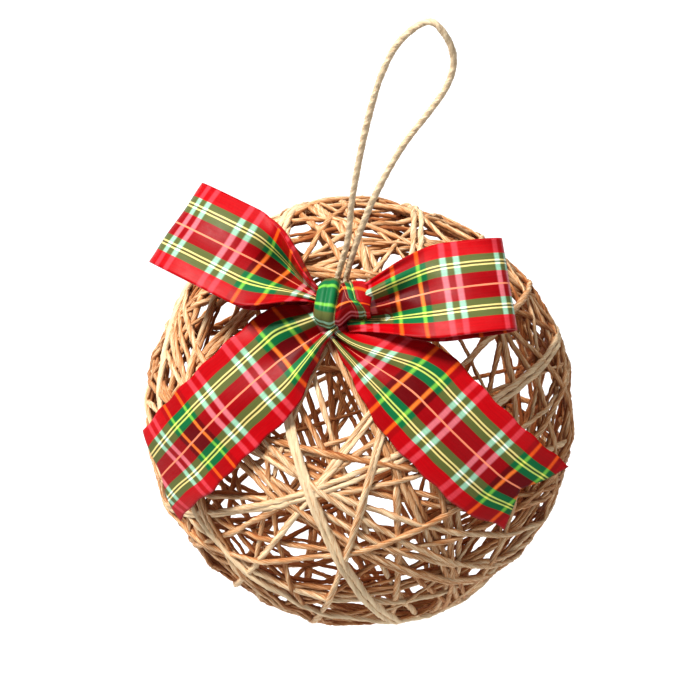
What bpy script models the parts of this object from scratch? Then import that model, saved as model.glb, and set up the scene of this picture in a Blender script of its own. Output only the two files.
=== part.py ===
"""Twine ornament: an openwork ball of wound twine with a hanging loop and a ribbon bow.

Metres, +Z up. The origin is where a hook bears on the loop, inside its top, and the ball hangs
straight below it. The front of the ornament, where the bow sits, faces -Y.
"""
import math

import bmesh
import bpy
from mathutils import Matrix, Vector

# Driving dimensions of the ball
BALL_DIAMETER = 0.115
BAND_WIDTH = 0.0042          # a main run of the winding, two twines side by side
WALL_DEPTH = 0.0030          # from the outermost twine to the innermost
LAYER_STEP = 0.0004          # how much deeper each next layer of the winding lies
LAYERS = 3
TURN_SEGMENTS = 20

# Driving dimensions of the hanging loop
HANG_HEIGHT = 0.1310         # from the ball's centre up to the hook
LOOP_TWINE = 0.0018
CURVE_STEPS = 24             # how finely the loop's curve is read between its points

# Driving dimensions of the bow
RIBBON_WIDTH = 0.0250
RIBBON_THICKNESS = 0.0005
LOOP_PINCH = 0.0065          # a loop's width where the knot pinches it
TAIL_PINCH = 0.0085          # the same for a tail
LEFT_LOOP_GATHER = 0.0340    # from the knot to where the ribbon is flat again
RIGHT_LOOP_GATHER = 0.0250
TAIL_GATHER = 0.0200
LOOP_CUP = 0.0050            # how deep the ribbon cups where a loop is gathered
LOOP_ROOT = 0.0022           # half the gap between a loop's layers in the knot
PLEAT_DEPTH = 0.0022         # how deep the pleats of a tail are at the knot
TAIL_LIFT = 0.0016           # how high over the ball the tails leave the knot
KNOT_WIDTH = 0.0125
KNOT_HEIGHT = 0.0115
KNOT_DEPTH = 0.0090
KNOT_SQUARENESS = 4          # 2 is round, and more is squarer
KNOT_CREASE_DEPTH = 0.0008   # a fold that runs down the knot's front
KNOT_CREASE_WIDTH = 0.0060
LEFT_LOOP_LENGTH = 0.0480
RIGHT_LOOP_LENGTH = 0.0400
LOOP_FULLNESS = 0.0050       # half the height of a ribbon loop at its fullest
LEFT_TAIL_LENGTH = 0.0680
RIGHT_TAIL_LENGTH = 0.0690
LEFT_TAIL_SPRING = 1.11      # how much wider a tail's own bend is than the ball
RIGHT_TAIL_SPRING = 1.24
NOTCH_DEPTH = 0.0060         # the swallow-tail cut at each end of the ribbon

RIBBON_COLUMNS = 4
LOOP_ROWS = 16
TAIL_ROWS = 9

CLEARANCE = 0.0003

# Directions on the ball, in degrees: azimuth round +Z from +X, and polar angle from +Z
BOW_AZIMUTH = 248.0
BOW_POLAR = 20.2
FOOT_AZIMUTH = 225.0
FOOT_POLAR = 13.7

# Headings of the ribbon from the knot, in degrees, seen from outside, from the ball's right
LEFT_LOOP_HEADING = 159.0
RIGHT_LOOP_HEADING = 16.0
LOOP_LEAN = 22.0             # how far the ribbon loops lean forward, off the ball's surface
LEFT_TAIL_HEADING = 229.0
RIGHT_TAIL_HEADING = 318.0
LEFT_TAIL_TILT = -12.5       # how far a tail's outer edge leans out of the ball's surface
RIGHT_TAIL_TILT = 18.0

# Poles of the main turns that show at the front: azimuth and elevation, in degrees
FRONT_TURNS = (
    (6, 29), (25, 61), (-35, 38), (182, 7), (162, 19),
    (142, 46), (78, 60), (-48, 42), (-104, 30), (-149, 75),
)
CROWN_TURNS = 4              # turns that frame the loop's foot, above and below
CROWN_PHASE = 33.0

BALL_RADIUS = BALL_DIAMETER / 2
BALL_CENTRE = Vector((0.0, 0.0, -HANG_HEIGHT))


def polar_direction(azimuth, polar):
    """Unit vector at an azimuth round +Z and a polar angle from +Z, in degrees."""
    turn = math.radians(azimuth)
    lean = math.radians(polar)
    return Vector((math.sin(lean) * math.cos(turn), math.sin(lean) * math.sin(turn), math.cos(lean)))


def side_frame(normal):
    """Two unit vectors square to a normal: one to the right (+X), and one up or back."""
    right = Vector((1.0, 0.0, 0.0))
    right = (right - normal * right.dot(normal)).normalized()
    return right, normal.cross(right)


BOW_NORMAL = polar_direction(BOW_AZIMUTH, BOW_POLAR)
BOW_RIGHT, BOW_UP = side_frame(BOW_NORMAL)
FOOT_NORMAL = polar_direction(FOOT_AZIMUTH, FOOT_POLAR)


def make_material(name, colour, roughness):
    """A plain material for one sub-part."""
    material = bpy.data.materials.new(name)
    material.use_nodes = True
    shader = material.node_tree.nodes["Principled BSDF"]
    shader.inputs["Base Color"].default_value = (*colour, 1.0)
    shader.inputs["Roughness"].default_value = roughness
    shader.inputs["Metallic"].default_value = 0.0
    return material


def add_object(name, bm, material, location=(0.0, 0.0, 0.0)):
    """Turn a bmesh into an object of the scene, smooth between its sharp edges."""
    mesh = bpy.data.meshes.new(name)
    bm.to_mesh(mesh)
    bm.free()
    mesh.materials.append(material)
    mesh.shade_smooth()
    mesh.set_sharp_from_angle(angle=math.radians(40.0))
    obj = bpy.data.objects.new(name, mesh)
    obj.location = location
    bpy.context.scene.collection.objects.link(obj)
    return obj


def unite(base, others):
    """Join overlapping solids into the base object as one body."""
    group = bpy.data.collections.new(base.name + "_joined")
    bpy.context.scene.collection.children.link(group)
    for other in others:
        other.hide_render = True
        other.display_type = "WIRE"
        bpy.context.scene.collection.objects.unlink(other)
        group.objects.link(other)
    union = base.modifiers.new("union", "BOOLEAN")
    union.operation = "UNION"
    union.solver = "EXACT"
    union.operand_type = "COLLECTION"
    union.collection = group
    return union


# The twine ball

def turn_pole(azimuth, elevation):
    """Pole of a turn of the winding."""
    return polar_direction(azimuth, 90.0 - elevation)


def foot_offset():
    """Distance from the loop's foot back to the turn that its ends hook under."""
    return BAND_WIDTH / 2 + LOOP_TWINE / 2 + 3 * CLEARANCE


def main_turns():
    """Poles of all main turns, the turn under the loop's foot first."""
    foot_right, foot_back = side_frame(FOOT_NORMAL)
    lean = math.asin(foot_offset() / BALL_RADIUS)
    poles = [foot_back * math.cos(lean) - FOOT_NORMAL * math.sin(lean)]
    poles += [turn_pole(azimuth, elevation) for azimuth, elevation in FRONT_TURNS]
    frame_distance = BAND_WIDTH + LOOP_TWINE + 4 * CLEARANCE + BAND_WIDTH / 2
    lean = math.asin(frame_distance / BALL_RADIUS)
    for index in range(CROWN_TURNS):
        angle = math.radians(CROWN_PHASE + 360.0 * index / CROWN_TURNS)
        side = foot_right * math.cos(angle) + foot_back * math.sin(angle)
        poles.append(FOOT_NORMAL * math.sin(lean) + side * math.cos(lean))
    return poles


def winding_turn(name, pole, layer, material):
    """One main turn: a band of twines that runs right round the ball."""
    outer = BALL_RADIUS - LAYER_STEP * layer
    inner = BALL_RADIUS - WALL_DEPTH
    half = BAND_WIDTH / 2
    bm = bmesh.new()
    profile = [(outer, -half), (outer, half), (inner, half), (inner, -half)]
    verts = [bm.verts.new((x, 0.0, z)) for x, z in profile]
    edges = [bm.edges.new((verts[i], verts[(i + 1) % 4])) for i in range(4)]
    bmesh.ops.spin(
        bm, geom=verts + edges, cent=(0, 0, 0), axis=(0, 0, 1), angle=math.tau,
        steps=TURN_SEGMENTS, use_merge=True, use_normal_flip=False,
    )
    bmesh.ops.recalc_face_normals(bm, faces=bm.faces[:])
    turned = Vector((0.0, 0.0, 1.0)).rotation_difference(pole).to_matrix().to_4x4()
    bmesh.ops.transform(bm, matrix=turned, verts=bm.verts[:])
    return add_object(name, bm, material, BALL_CENTRE)


def make_ball():
    """The ball: all main turns, glued into one body."""
    jute = make_material("jute", (0.60, 0.40, 0.20), 0.85)
    turns = [
        winding_turn(f"winding_turn_{index}", pole, index % LAYERS, jute)
        for index, pole in enumerate(main_turns())
    ]
    ball = turns[0]
    ball.name = "twine_ball"
    unite(ball, turns[1:])
    return ball


# The hanging loop

def smooth_route(points, spacing):
    """Read evenly spaced points from a smooth curve through the route's own points."""
    ends = [points[0] * 2 - points[1]] + points + [points[-1] * 2 - points[-2]]
    fine = []
    for index in range(1, len(ends) - 2):
        p0, p1, p2, p3 = ends[index - 1:index + 3]
        for step in range(CURVE_STEPS):
            t = step / CURVE_STEPS
            fine.append(
                (p1 * 2 + (p2 - p0) * t + (p0 * 2 - p1 * 5 + p2 * 4 - p3) * t ** 2
                 + (p1 * 3 - p0 - p2 * 3 + p3) * t ** 3) / 2
            )
    fine.append(points[-1])
    length = sum((b - a).length for a, b in zip(fine, fine[1:]))
    count = round(length / spacing)
    route = [fine[0]]
    travelled = 0.0
    for a, b in zip(fine, fine[1:]):
        piece = (b - a).length
        while len(route) < count and travelled + piece >= length * len(route) / count:
            share = (length * len(route) / count - travelled) / piece
            route.append(a.lerp(b, share))
        travelled += piece
    route.append(fine[-1])
    return route


def strand_foot(side):
    """One end of the loop, from its tip under the foot's turn to where it leaves the ball."""
    foot_right, foot_back = side_frame(FOOT_NORMAL)
    inner_face = (BALL_RADIUS - WALL_DEPTH) * math.cos(math.pi / TURN_SEGMENTS)
    under = inner_face - LOOP_TWINE / 2 - 3 * CLEARANCE
    beside = BALL_CENTRE + foot_right * side * (LOOP_TWINE + CLEARANCE) / 2
    tip = beside + FOOT_NORMAL * under + foot_back * (foot_offset() + BAND_WIDTH / 2)
    corner = beside + FOOT_NORMAL * under
    gap = beside + FOOT_NORMAL * (BALL_RADIUS - WALL_DEPTH / 2)
    over = beside + FOOT_NORMAL * (BALL_RADIUS + LOOP_TWINE)
    return [tip, corner, gap, over]


def loop_points():
    """The loop's route: from under the foot's turn, up and round the hook, and back down."""
    left = [
        (-0.0100, -0.0084, -0.0620), (-0.0105, -0.0068, -0.0500), (-0.0103, -0.0049, -0.0360),
        (-0.0096, -0.0033, -0.0240), (-0.0082, -0.0019, -0.0135), (-0.0054, -0.0007, -0.0050),
    ]
    right = [
        (0.0048, -0.0004, -0.0026), (0.0072, -0.0011, -0.0085), (0.0066, -0.0020, -0.0150),
        (0.0039, -0.0030, -0.0220), (-0.0013, -0.0046, -0.0340), (-0.0056, -0.0067, -0.0490),
        (-0.0078, -0.0084, -0.0620),
    ]
    bearing = Vector((0.0, 0.0, LOOP_TWINE / 2))
    route = strand_foot(-1) + [Vector(point) for point in left] + [bearing]
    return route + [Vector(point) for point in right] + strand_foot(1)[::-1]


def make_loop():
    """The hanging loop: one free length of thin twine."""
    points = smooth_route(loop_points(), 2 * LOOP_TWINE)
    curve = bpy.data.curves.new("hanging_loop", "CURVE")
    curve.dimensions = "3D"
    curve.bevel_depth = LOOP_TWINE / 2
    curve.bevel_resolution = 2
    curve.use_fill_caps = True
    spline = curve.splines.new("POLY")
    spline.points.add(len(points) - 1)
    for target, point in zip(spline.points, points):
        target.co = (*point, 1.0)
    curve.materials.append(make_material("loop_twine", (0.66, 0.48, 0.27), 0.8))
    loop = bpy.data.objects.new("hanging_loop", curve)
    bpy.context.scene.collection.objects.link(loop)
    return loop


# The ribbon bow

def smoothstep(value):
    """Ease from 0 to 1."""
    value = min(max(value, 0.0), 1.0)
    return value * value * (3 - 2 * value)


def gather(distance, length):
    """How pinched the ribbon is at a distance from the knot: 1 in the knot, 0 where it is flat."""
    return 1.0 - smoothstep(distance / length)


def half_width(pinch, pinched):
    """Half the ribbon's width, between its pinched width and its full width."""
    return (RIBBON_WIDTH - (RIBBON_WIDTH - pinch) * pinched) / 2


def heading(angle):
    """Unit vector in the bow's plane."""
    turn = math.radians(angle)
    return BOW_RIGHT * math.cos(turn) + BOW_UP * math.sin(turn)


def knot_centre():
    """Centre of the knot, resting on the ball."""
    return BALL_CENTRE + BOW_NORMAL * (BALL_RADIUS + CLEARANCE + KNOT_DEPTH / 2)


def loop_point(along, across, angle, length, gather_length):
    """A point of a ribbon loop: out from the knot, round the fold and back below."""
    phase = math.pi * along
    reach = length * math.sin(phase)
    out = heading(angle)
    side = BOW_NORMAL.cross(out)
    pinched = gather(reach, gather_length)
    front = math.cos(phase)
    cup = LOOP_CUP * pinched * (1.0 - pinched) * 4 * (across ** 2 - 0.5) * front
    height = LOOP_FULLNESS * math.sin(2 * phase) + LOOP_ROOT * front + cup
    lean = math.radians(LOOP_LEAN)
    leaning = BOW_NORMAL * math.cos(lean) - BOW_UP * math.sin(lean)
    middle = knot_centre() + out * reach + leaning * height
    return middle + side * across * half_width(LOOP_PINCH, pinched)


def tail_point(along, across, angle, tilt, length, spring):
    """A point of a tail: a strip bent round the ball, its outer edge leaning out."""
    lean = math.radians(tilt)
    out = heading(angle)
    side = BOW_NORMAL.cross(out)
    axis = side * math.cos(lean) + BOW_NORMAL * math.sin(lean)
    spoke = BOW_NORMAL * math.cos(lean) - side * math.sin(lean)
    start = BALL_RADIUS + CLEARANCE + TAIL_LIFT + PLEAT_DEPTH / 2
    bend = start * math.cos(lean) * spring
    distance = along * length - NOTCH_DEPTH * (1.0 - abs(across)) * smoothstep(along)
    pinched = gather(distance, TAIL_GATHER)
    turn = distance / bend
    centre = BALL_CENTRE + BOW_NORMAL * start - spoke * bend
    lift = PLEAT_DEPTH / 2 * pinched * math.cos(2 * math.pi * across)
    middle = centre + (spoke * math.cos(turn) + out * math.sin(turn)) * (bend + lift)
    return middle + axis * across * half_width(TAIL_PINCH, pinched)


def ribbon_strip(name, point_at, sizes, rows, material):
    """A strip of ribbon as a thin solid, from a function of the shares along and across."""
    bm = bmesh.new()
    shares = [-1.0 + 2.0 * column / RIBBON_COLUMNS for column in range(RIBBON_COLUMNS + 1)]
    grid = [
        [bm.verts.new(point_at(row / rows, share, *sizes)) for share in shares]
        for row in range(rows + 1)
    ]
    for upper, lower in zip(grid, grid[1:]):
        for column in range(RIBBON_COLUMNS):
            bm.faces.new((upper[column], upper[column + 1], lower[column + 1], lower[column]))
    strip = add_object(name, bm, material)
    thickness = strip.modifiers.new("thickness", "SOLIDIFY")
    thickness.thickness = RIBBON_THICKNESS
    thickness.offset = 0.0
    return strip


def knot_solid(name, material):
    """The knot: ribbon pinched round the middle of the bow, with one crease down its front."""
    bm = bmesh.new()
    bmesh.ops.create_uvsphere(bm, u_segments=12, v_segments=8, radius=1.0)
    for vert in bm.verts:
        squared = sum(abs(share) ** KNOT_SQUARENESS for share in vert.co) ** (-1 / KNOT_SQUARENESS)
        right, back, up = vert.co * squared
        front = max(-back, 0.0)
        aside = right * KNOT_WIDTH / KNOT_CREASE_WIDTH
        crease = KNOT_CREASE_DEPTH * front * math.exp(-aside ** 2)
        vert.co = Vector((
            right * KNOT_WIDTH / 2, up * KNOT_HEIGHT / 2, -back * KNOT_DEPTH / 2 - crease,
        ))
    placed = Matrix((BOW_RIGHT, BOW_UP, BOW_NORMAL)).transposed().to_4x4()
    bmesh.ops.transform(bm, matrix=placed, verts=bm.verts[:])
    return add_object(name, bm, material, knot_centre())


def make_bow():
    """The bow: knot, two loops and two tails of one ribbon."""
    tartan = make_material("ribbon", (0.75, 0.02, 0.04), 0.45)
    loops = {
        "left_loop": (LEFT_LOOP_HEADING, LEFT_LOOP_LENGTH, LEFT_LOOP_GATHER),
        "right_loop": (RIGHT_LOOP_HEADING, RIGHT_LOOP_LENGTH, RIGHT_LOOP_GATHER),
    }
    tails = {
        "left_tail": (LEFT_TAIL_HEADING, LEFT_TAIL_TILT, LEFT_TAIL_LENGTH, LEFT_TAIL_SPRING),
        "right_tail": (RIGHT_TAIL_HEADING, RIGHT_TAIL_TILT, RIGHT_TAIL_LENGTH, RIGHT_TAIL_SPRING),
    }
    strips = [ribbon_strip(name, loop_point, sizes, LOOP_ROWS, tartan) for name, sizes in loops.items()]
    strips += [ribbon_strip(name, tail_point, sizes, TAIL_ROWS, tartan) for name, sizes in tails.items()]
    bow = knot_solid("ribbon_bow", tartan)
    unite(bow, strips)
    return bow


def main():
    """Clear the scene and build the ornament."""
    for obj in list(bpy.data.objects):
        bpy.data.objects.remove(obj)
    make_ball()
    make_loop()
    make_bow()


main()
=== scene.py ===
"""Looks of the twine ornament: an openwork ball of jute twine, its hanging loop and its tartan bow.

Metres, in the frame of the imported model. +Z is up, the origin is inside the top of the loop where a
hook bears, and the front, where the bow sits, faces -Y.
"""
from __future__ import annotations

import logging
import math
import random
from dataclasses import dataclass, field
from enum import Enum
from functools import partial
from operator import attrgetter
from typing import Any, Callable, Sequence

import bpy
from mathutils import Matrix, Vector, kdtree


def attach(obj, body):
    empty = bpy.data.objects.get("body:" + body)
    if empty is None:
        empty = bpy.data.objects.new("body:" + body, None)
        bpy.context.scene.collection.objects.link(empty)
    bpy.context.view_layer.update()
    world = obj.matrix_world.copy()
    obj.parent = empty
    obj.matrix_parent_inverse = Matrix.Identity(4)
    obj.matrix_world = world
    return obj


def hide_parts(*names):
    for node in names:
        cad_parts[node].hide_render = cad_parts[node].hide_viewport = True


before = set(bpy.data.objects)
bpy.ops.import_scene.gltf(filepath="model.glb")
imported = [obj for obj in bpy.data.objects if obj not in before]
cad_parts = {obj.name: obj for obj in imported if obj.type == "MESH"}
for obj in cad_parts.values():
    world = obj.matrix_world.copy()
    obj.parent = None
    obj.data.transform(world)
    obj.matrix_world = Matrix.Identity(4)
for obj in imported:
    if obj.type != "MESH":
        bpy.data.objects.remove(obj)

log = logging.getLogger("ornament")

Colour = tuple[float, float, float]
Socket = bpy.types.NodeSocket
Place = Callable[[int, int], tuple[float, float]]


# Directions and easing

def polar_direction(azimuth: float, polar: float) -> Vector:
    """Unit vector at an azimuth round +Z and a polar angle from +Z.

    Args:
        azimuth: Angle round +Z from +X, in degrees.
        polar: Angle from +Z, in degrees.

    Returns:
        The unit vector.
    """
    turn = math.radians(azimuth)
    lean = math.radians(polar)
    return Vector((math.sin(lean) * math.cos(turn), math.sin(lean) * math.sin(turn), math.cos(lean)))


def side_frame(normal: Vector) -> tuple[Vector, Vector]:
    """Two unit vectors square to a normal.

    Args:
        normal: The unit normal.

    Returns:
        One vector to the right (+X), and one up or back.
    """
    right = Vector((1.0, 0.0, 0.0))
    right = (right - normal * right.dot(normal)).normalized()
    return right, normal.cross(right)


def smoothstep(value: float) -> float:
    """Ease from 0 to 1."""
    value = min(max(value, 0.0), 1.0)
    return value * value * (3 - 2 * value)


def linear(red: float, green: float, blue: float) -> Colour:
    """A colour for a shader, from its 0 to 255 screen values.

    Args:
        red: Red, 0 to 255.
        green: Green, 0 to 255.
        blue: Blue, 0 to 255.

    Returns:
        The scene-linear colour.
    """
    def channel(value: float) -> float:
        """One channel, made linear."""
        share = value / 255.0
        return share / 12.92 if share <= 0.04045 else ((share + 0.055) / 1.055) ** 2.4
    return channel(red), channel(green), channel(blue)


@dataclass(frozen=True)
class Layout:
    """The part's own sizes and directions, which its solids have too."""

    ball_radius: float = 0.0575
    hang_height: float = 0.1310
    wall_depth: float = 0.0030
    band_width: float = 0.0042
    loop_twine: float = 0.0018
    clearance: float = 0.0003
    turn_segments: int = 20
    bow_azimuth: float = 248.0
    bow_polar: float = 20.2
    foot_azimuth: float = 225.0
    foot_polar: float = 13.7

    @property
    def centre(self) -> Vector:
        """Centre of the ball."""
        return Vector((0.0, 0.0, -self.hang_height))

    @property
    def bow_normal(self) -> Vector:
        """Direction from the ball's centre to the bow."""
        return polar_direction(self.bow_azimuth, self.bow_polar)

    @property
    def foot_normal(self) -> Vector:
        """Direction from the ball's centre to the foot of the hanging loop."""
        return polar_direction(self.foot_azimuth, self.foot_polar)

    @property
    def foot_offset(self) -> float:
        """Distance from the loop's foot back to the turn that its ends hook under."""
        return self.band_width / 2 + self.loop_twine / 2 + 3 * self.clearance


LAYOUT = Layout()


# Node trees

class Nodes:
    """A node tree in the making, with short ways to add and join its nodes."""

    def __init__(self, tree: bpy.types.NodeTree) -> None:
        """Start on a tree.

        Args:
            tree: The tree that the nodes go into.
        """
        self.tree = tree

    def add(self, kind: str, inputs: dict[str | int, Any] | None = None, **settings: Any) -> bpy.types.Node:
        """Add a node.

        Args:
            kind: The node's type name.
            inputs: Values or sockets for its inputs, by name, identifier or number.
            settings: The node's own properties.

        Returns:
            The new node.
        """
        node = self.tree.nodes.new(kind)
        for name, value in settings.items():
            setattr(node, name, value)
        for key, value in (inputs or {}).items():
            socket = self.find(node, key)
            if isinstance(value, Socket):
                self.tree.links.new(value, socket)
            else:
                socket.default_value = value
        return node

    @staticmethod
    def find(node: bpy.types.Node, key: str | int) -> Socket:
        """The input socket of a node.

        Args:
            node: The node.
            key: The socket's number, identifier or name.

        Returns:
            The socket.
        """
        if isinstance(key, int):
            return node.inputs[key]
        for socket in node.inputs:
            if socket.identifier == key:
                return socket
        return node.inputs[key]

    def math(self, operation: str, first: Any, second: Any = 0.0, third: Any = 0.0) -> Socket:
        """A Math node's result.

        Args:
            operation: The node's operation.
            first: Its first value or socket.
            second: Its second value or socket.
            third: Its third value or socket.

        Returns:
            The output socket.
        """
        node = self.add("ShaderNodeMath", {0: first, 1: second, 2: third}, operation=operation)
        return node.outputs[0]

    def vector(self, operation: str, first: Any, second: Any = None, scale: Any = None) -> Socket:
        """A Vector Math node's result.

        Args:
            operation: The node's operation.
            first: Its first vector or socket.
            second: Its second vector or socket, where it has one.
            scale: Its scale, where it has one.

        Returns:
            The output socket, a value for a dot product or a length.
        """
        inputs = {0: first}
        if second is not None:
            inputs[1] = second
        if scale is not None:
            inputs["Scale"] = scale
        node = self.add("ShaderNodeVectorMath", inputs, operation=operation)
        return node.outputs["Value" if operation in ("DOT_PRODUCT", "LENGTH") else "Vector"]

    def mix(self, share: Any, first: Any, second: Any) -> Socket:
        """A colour mix.

        Args:
            share: How much of the second colour shows.
            first: The first colour or socket.
            second: The second colour or socket.

        Returns:
            The output socket.
        """
        colours = [(*given, 1.0) if isinstance(given, tuple) else given for given in (first, second)]
        node = self.add(
            "ShaderNodeMix",
            {"Factor_Float": share, "A_Color": colours[0], "B_Color": colours[1]},
            data_type="RGBA",
        )
        return next(socket for socket in node.outputs if socket.identifier == "Result_Color")

    def ramp(self, value: Any, stops: Sequence[tuple[float, Colour]]) -> Socket:
        """A colour ramp.

        Args:
            value: The socket that it reads.
            stops: Its stops, each a position and a colour.

        Returns:
            The output socket.
        """
        node = self.add("ShaderNodeValToRGB", {"Fac": value})
        elements = node.color_ramp.elements
        while len(elements) < len(stops):
            elements.new(1.0)
        for element, (position, colour) in zip(elements, stops):
            element.position = position
            element.color = (*colour, 1.0)
        return node.outputs["Color"]

    def noise(self, vector: Any, scale: float, detail: float = 2.0, roughness: float = 0.5) -> Socket:
        """A noise texture's value.

        Args:
            vector: Where it is read.
            scale: Its scale.
            detail: Its levels of detail.
            roughness: How strong its finer levels are.

        Returns:
            The output socket.
        """
        node = self.add(
            "ShaderNodeTexNoise",
            {"Vector": vector, "Scale": scale, "Detail": detail, "Roughness": roughness},
        )
        return node.outputs[0]

    def remap(
        self, value: Any, low: float, high: float, to_low: float = 0.0, to_high: float = 1.0,
    ) -> Socket:
        """A value carried from one range to another and kept inside it.

        Args:
            value: The value's socket.
            low: Where the range starts.
            high: Where it ends.
            to_low: What the start becomes.
            to_high: What the end becomes.

        Returns:
            The output socket.
        """
        node = self.add(
            "ShaderNodeMapRange",
            {"Value": value, "From Min": low, "From Max": high, "To Min": to_low, "To Max": to_high},
        )
        return node.outputs["Result"]

    def attribute(self, name: str, output: str) -> Socket:
        """What a shader reads from a named attribute of the mesh, as its Vector or its Fac."""
        return self.add("ShaderNodeAttribute", attribute_name=name).outputs[output]

    def dress(
        self, shader: bpy.types.Node, colour: Socket, rough: Socket, height: Socket, strength: float,
        depth: float,
    ) -> None:
        """Join a material's colour, roughness and small relief to its shader.

        Args:
            shader: The Principled BSDF.
            colour: The base colour's socket.
            rough: The roughness's socket.
            height: The relief's socket.
            strength: How much the relief turns the normal, 0 to 1.
            depth: How deep the relief is, in metres.
        """
        bump = self.add("ShaderNodeBump", {"Height": height, "Strength": strength, "Distance": depth})
        made = (("Base Color", colour), ("Roughness", rough), ("Normal", bump.outputs["Normal"]))
        for name, socket in made:
            self.tree.links.new(socket, shader.inputs[name])


class Group(Nodes):
    """A node group with named inputs and outputs."""

    def __init__(
        self, name: str, kind: str, inputs: Sequence[tuple[str, str]], outputs: Sequence[tuple[str, str]],
    ) -> None:
        """Make an empty group.

        Args:
            name: The group's name.
            kind: "GeometryNodeTree" or "ShaderNodeTree".
            inputs: Name and socket type of each input.
            outputs: Name and socket type of each output.
        """
        super().__init__(bpy.data.node_groups.new(name, kind))
        for label, socket_type in inputs:
            self.tree.interface.new_socket(label, in_out="INPUT", socket_type=socket_type)
        for label, socket_type in outputs:
            self.tree.interface.new_socket(label, in_out="OUTPUT", socket_type=socket_type)
        self.given = self.tree.nodes.new("NodeGroupInput").outputs
        self.made = self.tree.nodes.new("NodeGroupOutput").inputs

    def give(self, name: str, socket: Socket) -> None:
        """Join a socket to an output of the group."""
        self.tree.links.new(socket, self.made[name])

    def capture(self, geometry: Any, **fields: tuple[str, Any]) -> dict[str, Socket]:
        """Hold fields as they are at this point of the tree.

        Args:
            geometry: The geometry's socket.
            fields: For each name, its data type and its socket.

        Returns:
            The captured sockets by name, and the geometry's as "geometry".
        """
        node = self.add("GeometryNodeCaptureAttribute", {"Geometry": geometry})
        held = {"geometry": node.outputs["Geometry"]}
        for name, (data_type, socket) in fields.items():
            node.capture_items.new(data_type, name)
            self.tree.links.new(socket, node.inputs[name])
            held[name] = node.outputs[name]
        return held

    def store(self, geometry: Any, name: str, data_type: str, value: Any) -> Socket:
        """Write a named attribute on the points.

        Args:
            geometry: The geometry's socket.
            name: The attribute's name.
            data_type: Its data type.
            value: The socket with its value.

        Returns:
            The geometry's socket after it.
        """
        node = self.add(
            "GeometryNodeStoreNamedAttribute",
            {"Geometry": geometry, "Name": name, "Value": value},
            data_type=data_type, domain="POINT",
        )
        return node.outputs["Geometry"]


def bake(name: str, source: bpy.types.Object, group: Group, values: dict[str, Any]) -> bpy.types.Object:
    """Run a geometry tree on an object and keep the result as a plain mesh.

    Args:
        name: The name of the finished piece.
        source: The curve or mesh that the tree starts from. It is removed afterwards.
        group: The tree.
        values: The values of its inputs by name.

    Returns:
        The finished piece, at the origin.
    """
    modifier = source.modifiers.new(group.tree.name, "NODES")
    modifier.node_group = group.tree
    for item in group.tree.interface.items_tree:
        if item.in_out == "INPUT" and item.name in values:
            modifier[item.identifier] = values[item.name]
    depsgraph = bpy.context.evaluated_depsgraph_get()
    mesh = bpy.data.meshes.new_from_object(source.evaluated_get(depsgraph), depsgraph=depsgraph)
    mesh.name = name
    bpy.data.objects.remove(source)
    piece = bpy.data.objects.new(name, mesh)
    bpy.context.scene.collection.objects.link(piece)
    return piece


# Finishes

class FibreStreaks:
    """Shader group: the long fibres of a twine, read from its strand attribute.

    The strand attribute holds the place on the twine's round section, then the metres along it.
    """

    group: Group | None = None
    fibre_scale = (7.0, 7.0, 260.0)
    patch_scale = (1.6, 1.6, 120.0)
    ply_height = 0.35

    @classmethod
    def build(cls) -> Group:
        """The group, made once.

        Returns:
            The group, with Streak, Patch, Groove and Height outputs.
        """
        if cls.group is None:
            tree = Group(
                "fibre_streaks", "ShaderNodeTree",
                [("Strand", "NodeSocketVector"), ("Plies", "NodeSocketFloat")],
                [(name, "NodeSocketFloat") for name in ("Streak", "Patch", "Groove", "Height")],
            )
            strand = tree.given["Strand"]
            fine = tree.noise(tree.vector("MULTIPLY", strand, cls.fibre_scale), 1.0, 4.0, 0.65)
            broad = tree.noise(tree.vector("MULTIPLY", strand, cls.patch_scale), 1.0, 2.0)
            parts = tree.add("ShaderNodeSeparateXYZ", {0: strand}).outputs
            angle = tree.math("ARCTAN2", parts[1], parts[0])
            lobes = tree.math("COSINE", tree.math("MULTIPLY", angle, tree.given["Plies"]))
            tree.give("Streak", fine)
            tree.give("Patch", broad)
            # Where the plies meet, read by the finish for its painted groove shade.
            tree.give("Groove", tree.remap(lobes, -1.0, 0.2, 1.0, 0.0))
            tree.give("Height", tree.math("MULTIPLY_ADD", lobes, cls.ply_height, fine))
            cls.group = tree
        return cls.group


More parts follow.
